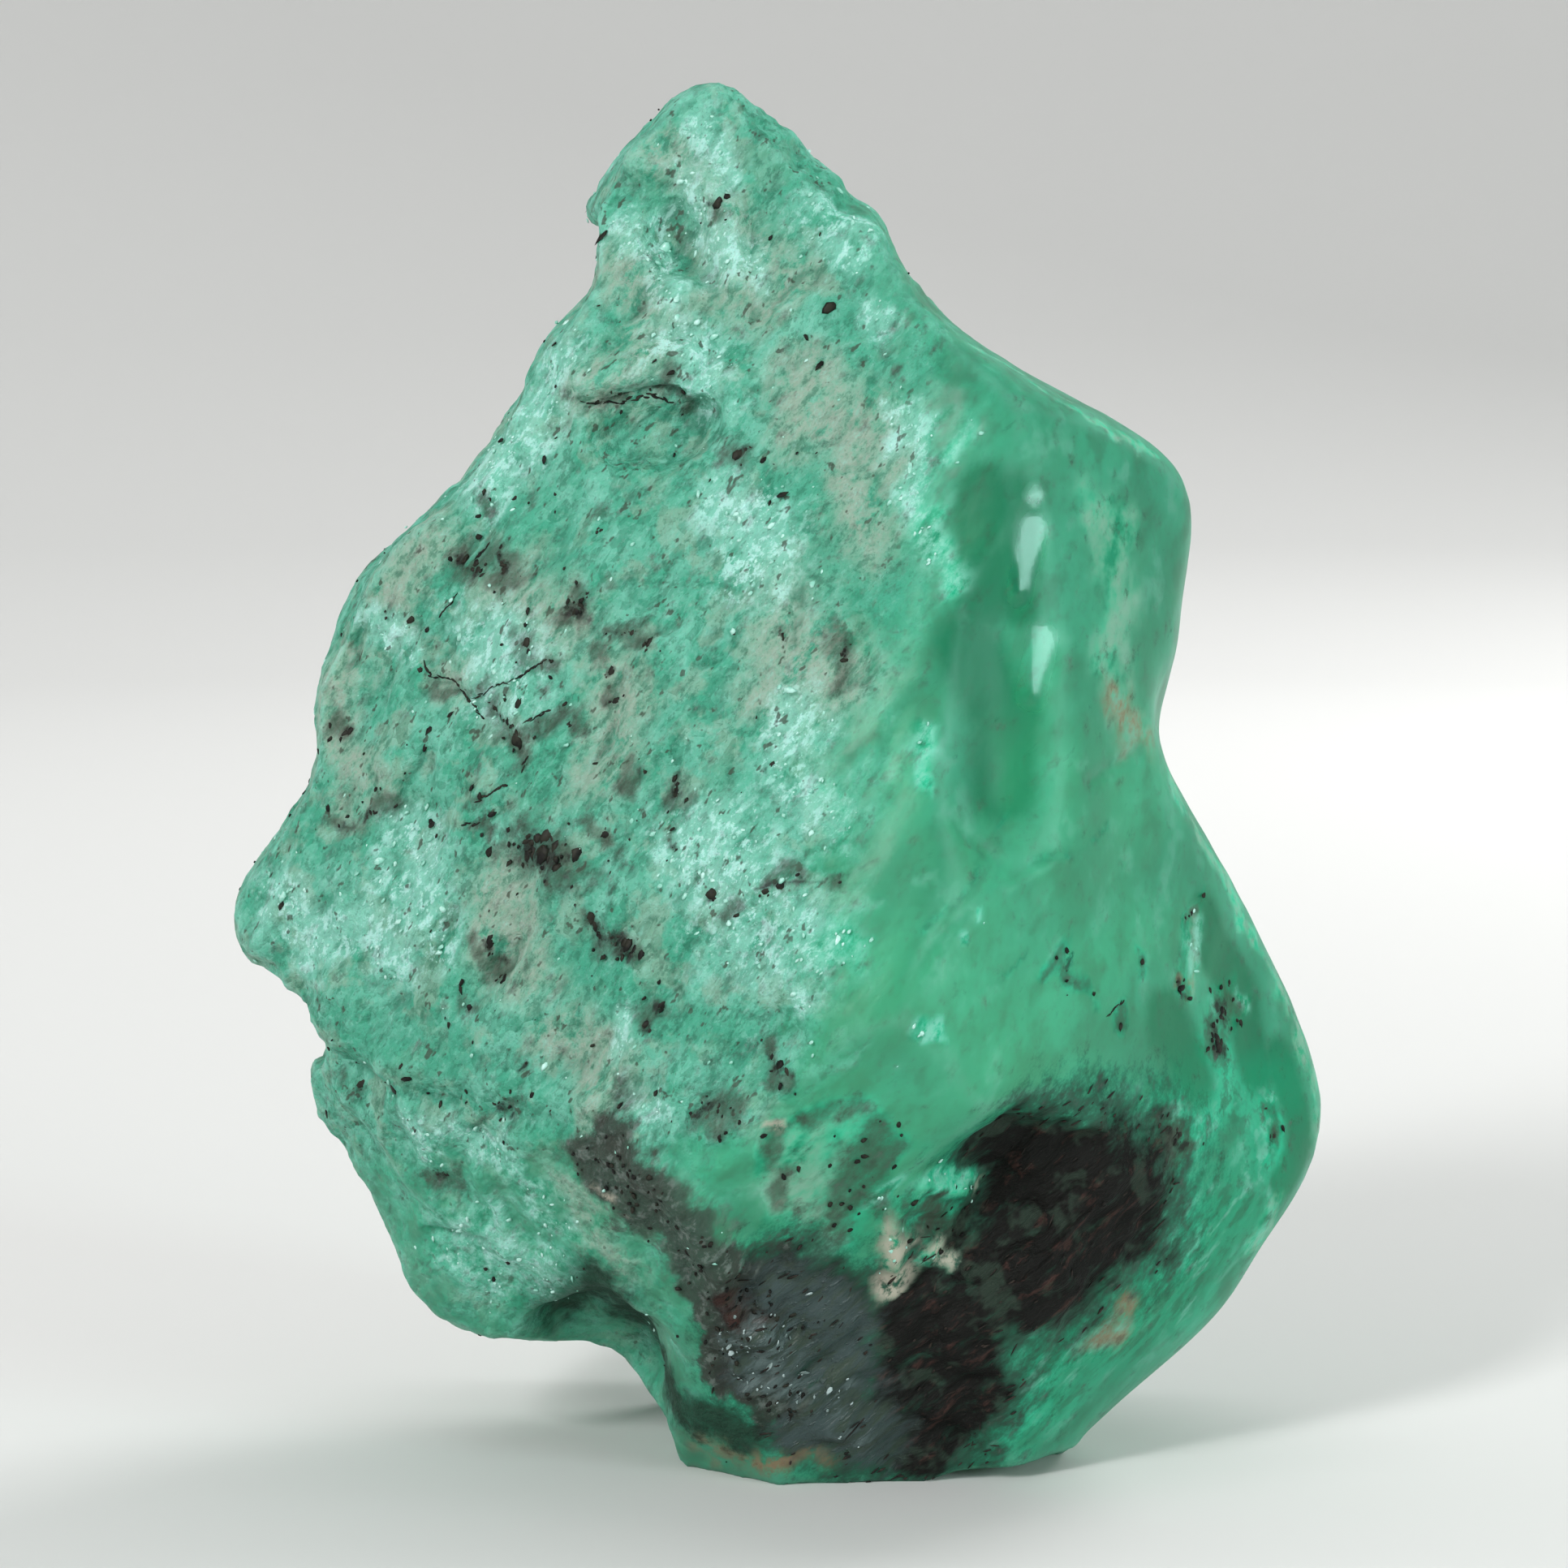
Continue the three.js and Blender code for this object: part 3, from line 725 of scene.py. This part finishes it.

    # painted shade, dirt, rusty brown with a painted reflection at the bottom edge, and dark mica in the skin
    dirty = paint.cloud(grain, 2.6, 4, 0.7)
    body = paint.blend(shade * 0.9, body, beryl["shade"])
    stained = paint.step(paint.field("smoke") - pale * 0.8 + (dirty - 0.5) * 1.6, 0.08, 1.0)
    body = paint.blend(stained * 0.92, body, beryl["stain"])
    body = paint.blend(paint.step(dusk + (dirty - 0.5) * 1.6, 0.15, 1.15) * 0.75, body, beryl["dusk"])
    # Rusty brown tone; along the bottom edge it is a painted reflection.
    body = paint.blend(rustAndReflection * paint.step(dirty, 0.35, 0.6) * 0.8, body, beryl["rustAndReflection"])
    dots = paint.step(paint.cloud(grain, 4.2, 2, 0.6), 0.635, 0.70) * frosty * 0.8
    body = paint.blend(dots, body, beryl["dusk"])
    blot = paint.step(paint.field("blot") + (streak - 0.5) * 2.2, 0.45, 1.15)
    body = paint.blend(blot * 0.9, body, beryl["blot"])
    speckled = paint.step(ridge + (dirty - 0.5) * 1.4, 0.0, 0.55)
    body = paint.blend(speckled * 0.92, body, beryl["ridge"])
    body = paint.blend(speckled * paint.step(streak, 0.50, 0.64) * 0.7, body, beryl["ash"])
    body = paint.blend(cream * paint.step(streak, 0.34, 0.54), body, beryl["cream"])

    cloudy = paint.surface({
        "Base Color": body,
        "Roughness": frosty * 0.04 + 0.48 - polish * 0.30,
        "Specular IOR Level": 0.2,
        "Subsurface Weight": 0.3,
        "Subsurface Radius": (0.4, 1.3, 0.9),
        "Subsurface Scale": 0.7 * mm,
        "Normal": paint.bump((streak * 0.9 + fine * 0.5 - granule * 0.7) * (frosty * 0.95 + 0.05), 0.7, 0.22),
    })
    clear = paint.surface({
        "Base Color": paint.blend(deep, beryl["clear"], beryl["clearDeep"]),
        "Roughness": 0.40 - polish * 0.22,
        "IOR": 1.58,
        "Specular IOR Level": 0.14,
        "Transmission Weight": 0.85,
        "Normal": paint.bump(paint.cloud(grain, 1.2, 3, 0.5) * (1 - polish), 0.4, 0.08),
    })
    covered = pale + buff * 0.7 + rim + vein * 0.5 + dusk + ridge + stained + shade + cream + blot
    covered = paint.step(covered + streaky * 0.5, 0, 0.9)
    clarity = (1 - frosty) * (1 - covered) * beryl["clarity"]
    crystal = paint.mixShader(clarity, cloudy, clear)

    # schist, and the slick slate in it
    strands = paint.cloud(fibre, 3.2, 4, 0.65)
    dark = paint.blend(paint.step(strands, 0.54, 0.70), beryl["schist"], beryl["schistRed"])
    dark = paint.blend(paint.step(paint.cloud(where, 0.9, 3), 0.54, 0.64) * 0.6, dark, beryl["schistGreen"])
    dark = paint.blend(pit, dark, beryl["schistRed"])
    # Painted shade darkens the rock as well.
    dark = paint.blend(shade, dark, beryl["shade"])
    rock = paint.surface({
        "Base Color": dark,
        "Roughness": 0.7,
        "Specular IOR Level": 0.2,
        "Normal": paint.bump(strands, 0.9, 0.25),
    })
    flaky = paint.step(paint.cloud(fibre, 6.0, 3), 0.58, 0.68)
    slick = paint.blend(paint.step(strands, 0.34, 0.56), beryl["schistGreen"], beryl["slate"])
    slick = paint.blend(glitter * paint.step(strands, 0.44, 0.60) * 0.7, slick, beryl["slatePale"])
    slick = paint.surface({
        "Base Color": paint.blend(flaky * (glitter * 0.6 + 0.25), slick, beryl["slatePale"]),
        "Roughness": 0.42,
        "Specular IOR Level": 0.4,
        "Normal": paint.bump(strands + flaky * 0.3, 0.8, 0.12),
    })
    ragged = paint.cloud(fibre, 2.2, 4, 0.7)
    rock = paint.mixShader(paint.step(slate + (ragged - 0.5) * 1.6, 0.30, 1.0), rock, slick)
    # Painted shade also switches to the matt rock surface, so that it shows no sheen.
    rocky = schist + pit + shade * 0.8 - cream * 1.4 - pale * 1.1
    rocky = paint.step(rocky + (ragged - 0.5) * 1.8, 0.18, 0.92)
    volume = paint.node("ShaderNodeVolumeAbsorption", None,
                        {"Color": (*beryl["absorb"], 1), "Density": beryl["absorbPerMetre"]})
    return paint.finish(paint.mixShader(rocky, crystal, rock), volume)


emerald.data.materials.clear()
emerald.data.materials.append(emeraldMaterial())
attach(emerald, "root")
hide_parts("emerald_stone")
print("finish: emerald")


# Small pieces that sit in the skin: copies of a few uneven grains, joined into one mesh.
def grainShape(seed):
    work = bmesh.new()
    bmesh.ops.create_uvsphere(work, u_segments=7, v_segments=4, radius=1)
    for vert in work.verts:
        vert.co *= 1 + 0.45 * noise.noise(vert.co * 1.6 + Vector((seed * 2.7, 0, 0)))
    bmesh.ops.recalc_face_normals(work, faces=work.faces)
    for face in work.faces:
        face.smooth = True
    grain = bpy.data.meshes.new("grain")
    work.to_mesh(grain)
    work.free()
    return grain


# Each placing is a place, a normal, a direction and the half sizes along, across and outwards.
def scatter(name, placings, material, shapes=5):
    grains = [grainShape(seed) for seed in range(shapes)]
    work = bmesh.new()
    for index, (place, normal, along, sizes) in enumerate(placings):
        frameOfGrain = np.array((along, np.cross(normal, along), normal)).T * sizes
        copy = grains[index % shapes].copy()
        copy.transform(Matrix.Translation(Vector(place) * mm) @ (Matrix(frameOfGrain) * mm).to_4x4())
        work.from_mesh(copy)
        bpy.data.meshes.remove(copy)
    mesh = bpy.data.meshes.new(name)
    work.to_mesh(mesh)
    work.free()
    movePoints(mesh, readPoints(mesh)[0])
    mesh.materials.append(material)
    piece = addObject(name, mesh)
    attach(piece, "root")
    print(name + ":", len(placings), "pieces,", len(mesh.polygons), "faces")


def tangent(normal, degrees, dice, spreadDegrees):
    angle = math.radians(degrees + dice.normal(0, spreadDegrees))
    along = np.array((math.cos(angle), dice.normal(0, 0.15), math.sin(angle)))
    return unit(along - normal * (along @ normal))


# Random places on the stone, more of them where the weight is high.
class Sprinkler:
    def __init__(self, piece, fields):
        mesh = piece.data
        count = len(mesh.polygons)
        centres, normals = np.empty(count * 3), np.empty(count * 3)
        self.area = np.empty(count)
        corners = np.empty(count * 4, int)
        mesh.polygons.foreach_get("center", centres)
        mesh.polygons.foreach_get("normal", normals)
        mesh.polygons.foreach_get("area", self.area)
        mesh.polygons.foreach_get("vertices", corners)
        self.centres, self.normals = centres.reshape(-1, 3) / mm, normals.reshape(-1, 3)
        corners = corners.reshape(-1, 4)
        self.fields = {name: values[corners].mean(axis=1) for name, values in fields.items()}

    def pick(self, count, weight, dice):
        chance = self.area * weight
        chosen = dice.choice(len(chance), size=count, p=chance / chance.sum())
        jitter = dice.normal(0, 0.04, (count, 3))
        return [(self.centres[i] + j, self.normals[i]) for i, j in zip(chosen, jitter)]


# Slides a place onto the finished stone.
def dropped(place):
    nearest = emeraldTree.find_nearest(Vector(place) * mm)
    return np.array(nearest[0]) / mm, np.array(nearest[1])


def grainyMaterial(name, colour, second, roughness, shine=0.5):
    paint = Paint(name)
    where = paint.place()
    return paint.finish(paint.surface({
        "Base Color": paint.blend(paint.step(paint.cloud(where, 3.0), 0.40, 0.62), colour, second),
        "Roughness": roughness,
        "Specular IOR Level": shine,
        "Normal": paint.bump(paint.cloud(where, 12, 2), 0.5, 0.03),
    }))


mica = {
    "seed": 21,
    "loose": 420,            # specks strewn over the frosted face
    "inRidge": 420,          # and over the ridge
    "size": 0.065,
    "looseSize": 0.036,
    "crackStep": 0.10,       # spacing of the slivers in a hair crack
    "dark": (0.006, 0.006, 0.005),
    "brown": (0.022, 0.022, 0.015),
}


def makeMicaSpecks(sprinkler):
    dice = np.random.default_rng(mica["seed"])
    placings = []
    for places, width in micaMarks:
        spots = onFront(emeraldTree, places)
        for start, end in zip(spots, spots[1:]):
            length = np.linalg.norm(end - start)
            if width < 0.14 and length > 0.3:      # a hair crack
                for share in np.arange(0, 1, mica["crackStep"] / length):
                    loose = start * (1 - share) + end * share + dice.normal(0, 0.02, 3)
                    place, normal = dropped(loose)
                    along = unit(unit(end - start) + dice.normal(0, 0.2, 3))
                    along = unit(along - normal * (along @ normal))
                    placings.append((place, normal, along, (0.10, width * dice.uniform(0.15, 0.35), 0.02)))
                continue
            count = 4 + int(16 * (length + width) * math.sqrt(width))
            for share in dice.uniform(0, 1, count):
                loose = start * (1 - share) + end * share + dice.normal(0, 0.22 * width, 3)
                place, normal = dropped(loose)
                size = mica["size"] * math.exp(dice.normal(0, 0.4)) * (0.5 + 1.3 * width)
                along = tangent(normal, stone["grainAngle"], dice, 35)
                sizes = (size * dice.uniform(1, 1.9), size, 0.4 * size)
                placings.append((place - 0.02 * normal, normal, along, sizes))
    weight = sprinkler.fields["frost"] * (1 - sprinkler.fields["schist"])
    weight = weight * (0.35 + smooth(-sprinkler.centres[:, 0], -2, 7))
    for place, normal in sprinkler.pick(mica["loose"], weight, dice):
        size = min(mica["looseSize"] * math.exp(dice.normal(0, 0.5)), 0.14)
        along = tangent(normal, stone["grainAngle"], dice, 25)
        sizes = (size * dice.uniform(1.1, 2.4), size, 0.025)
        placings.append((place - 0.01 * normal, normal, along, sizes))
    weight = sprinkler.fields["ridge"] + 0.6 * sprinkler.fields["dusk"]
    for place, normal in sprinkler.pick(mica["inRidge"], weight, dice):
        size = dice.uniform(0.02, 0.07)
        along = tangent(normal, stone["grainAngle"], dice, 30)
        placings.append((place, normal, along, (size * 1.6, size, 0.04)))
    scatter("micaSpecks", placings, grainyMaterial("darkMica", mica["dark"], mica["brown"], 0.55, 0.2))


sugar = {
    "seed": 22,
    "count": 2200,
    "size": 0.034,
    "mint": (0.26, 0.60, 0.48),
    "white": (0.52, 0.82, 0.74),
}


def makeSugarGrains(sprinkler):
    dice = np.random.default_rng(sugar["seed"])
    placings = []
    fields = sprinkler.fields
    weight = 0.06 * fields["frost"] + fields["pale"] + 0.06 * fields["ridge"] + 0.6 * fields["cream"]
    weight = weight * (1 - 0.9 * fields["schist"])
    for place, normal in sprinkler.pick(sugar["count"], weight, dice):
        size = sugar["size"] * math.exp(dice.normal(0, 0.35))
        lean = unit(normal + dice.normal(0, 0.25, 3))
        along = tangent(lean, stone["grainAngle"], dice, 22)
        sizes = (size * dice.uniform(1.1, 2.2), size, size * 0.7)
        placings.append((place - 0.02 * normal, lean, along, sizes))
    scatter("sugarGrains", placings, grainyMaterial("sugarBeryl", sugar["mint"], sugar["white"], 0.22))


slivers = {
    "seed": 23,
    "count": 900,
    "length": 0.10,
    "dark": (0.008, 0.007, 0.006),
    "brown": (0.030, 0.022, 0.017),
}


def makeSchistSlivers(sprinkler):
    dice = np.random.default_rng(slivers["seed"])
    placings = []
    schist = sprinkler.fields["schist"]
    edge = smooth(schist, 0.05, 0.35) * (1 - 0.8 * smooth(schist, 0.5, 0.9)) + 0.15 * smooth(schist, 0.5, 1)
    for place, normal in sprinkler.pick(slivers["count"], edge, dice):
        along = tangent(normal, stone["fibreAngle"], dice, 18)
        length = slivers["length"] * math.exp(dice.normal(0, 0.5))
        sizes = (length, dice.uniform(0.015, 0.04), 0.018)
        placings.append((place - 0.01 * normal, normal, along, sizes))
    material = grainyMaterial("schistFibre", slivers["dark"], slivers["brown"], 0.6, 0.25)
    scatter("schistSlivers", placings, material)


flakes = {
    "seed": 24,
    "count": 110,
    "size": 0.03,
    "leaning": 60,           # degrees above the horizontal
    "grey": (0.16, 0.22, 0.21),
    "silver": (0.42, 0.52, 0.52),
}


def makeSlateFlakes(sprinkler):
    dice = np.random.default_rng(flakes["seed"])
    placings = []
    weight = sprinkler.fields["glitter"] + 0.02 * sprinkler.fields["slate"] + 0.01 * sprinkler.fields["ridge"]
    for place, normal in sprinkler.pick(flakes["count"], weight, dice):
        lean = unit(normal + dice.normal(0, 0.35, 3))
        size = flakes["size"] * math.exp(dice.normal(0, 0.5))
        along = tangent(lean, flakes["leaning"], dice, 30)
        placings.append((place - 0.01 * normal, lean, along, (size * 1.7, size, 0.02)))
    scatter("slateFlakes", placings, grainyMaterial("silverMica", flakes["grey"], flakes["silver"], 0.25))


sprinkler = Sprinkler(emerald, stoneField)
makeMicaSpecks(sprinkler)
makeSugarGrains(sprinkler)
makeSchistSlivers(sprinkler)
makeSlateFlakes(sprinkler)


# Stage, lights and camera
studio = {
    "floorColour": (0.70, 0.70, 0.69),
    "bowlRadius": 0.70,
    "worldLight": 0.42,
    "lens": 100,
    "aim": (0, 0, 16.81),
}
# name: (place, target, size, power, seen in the gloss, colour)
lamps = {
    "key": ((-0.20, -0.27, 0.22), (0, 0, 0.017), (0.07, 0.12), 0.98, True),
    "window": ((0.278, -0.191, 0.098), (0.006, -0.004, 0.022), (0.065, 0.060), 0.20, True, (0.62, 1, 0.94)),
    "fill": ((0.28, -0.24, 0.12), (0, 0, 0.017), (0.16, 0.16), 0.34, False),
    "glow": ((0.18, 0.20, 0.16), (0, 0, 0.017), (0.12, 0.12), 0.50, False),
    "backdrop": ((0, 0.10, 0.45), (0, 0.60, 0.05), (0.50, 0.10), 0.9, False),
}


def makeStage():
    work = bmesh.new()
    radius = studio["bowlRadius"]
    steps = [math.radians(a) for a in range(-90, 1, 10)]
    profile = [(0, 0)] + [(0.35 + 0.65 * math.cos(a), 0.65 + 0.65 * math.sin(a)) for a in steps] + [(1, 1.4)]
    corners = [work.verts.new((x * radius, 0, z * radius)) for x, z in profile]
    edges = [work.edges.new(pair) for pair in zip(corners, corners[1:])]
    bmesh.ops.spin(work, geom=corners + edges, cent=(0, 0, 0), axis=(0, 0, 1), angle=math.tau, steps=64,
                   use_merge=True)
    bmesh.ops.remove_doubles(work, verts=work.verts, dist=0.001)
    bmesh.ops.recalc_face_normals(work, faces=work.faces)
    mesh = bpy.data.meshes.new("floorBowl")
    work.to_mesh(mesh)
    work.free()
    for face in mesh.polygons:
        face.use_smooth = True
    floor = addObject("floorBowl", mesh)
    paint = Paint("palePaper")
    paper = paint.node("ShaderNodeBsdfDiffuse", None, {"Color": (*studio["floorColour"], 1)})
    floor.data.materials.append(paint.finish(paper))


def addLamp(name, place, target, size, power, seenInGloss, colour=(1, 1, 1)):
    lamp = bpy.data.lights.new(name, "AREA")
    lamp.color = colour
    lamp.shape = "RECTANGLE"
    lamp.size, lamp.size_y = size
    lamp.energy = power
    holder = addObject(name, lamp)
    holder.location = place
    holder.visible_glossy = seenInGloss
    holder.visible_transmission = False
    aim = Vector(target) - Vector(place)
    holder.rotation_euler = aim.to_track_quat("-Z", "Y").to_euler()


def makeCamera():
    camera = bpy.data.cameras.new("camera")
    camera.lens = studio["lens"]
    camera.clip_start, camera.clip_end = 0.005, 5
    holder = addObject("camera", camera)
    holder.location = Vector(eye) * mm
    holder.rotation_euler = (Vector(studio["aim"]) - Vector(eye)).to_track_quat("-Z", "Y").to_euler()
    scene.camera = holder


def lightRoom():
    scene.world = bpy.data.worlds.new("softRoom")
    scene.world.use_nodes = True
    background = scene.world.node_tree.nodes["Background"]
    background.inputs["Color"].default_value = (1, 1, 1, 1)
    background.inputs["Strength"].default_value = studio["worldLight"]
    scene.view_settings.view_transform = "Standard"


makeStage()
for lampName, lampValues in lamps.items():
    addLamp(lampName, *lampValues)
makeCamera()
lightRoom()
print("stage, lights and camera")
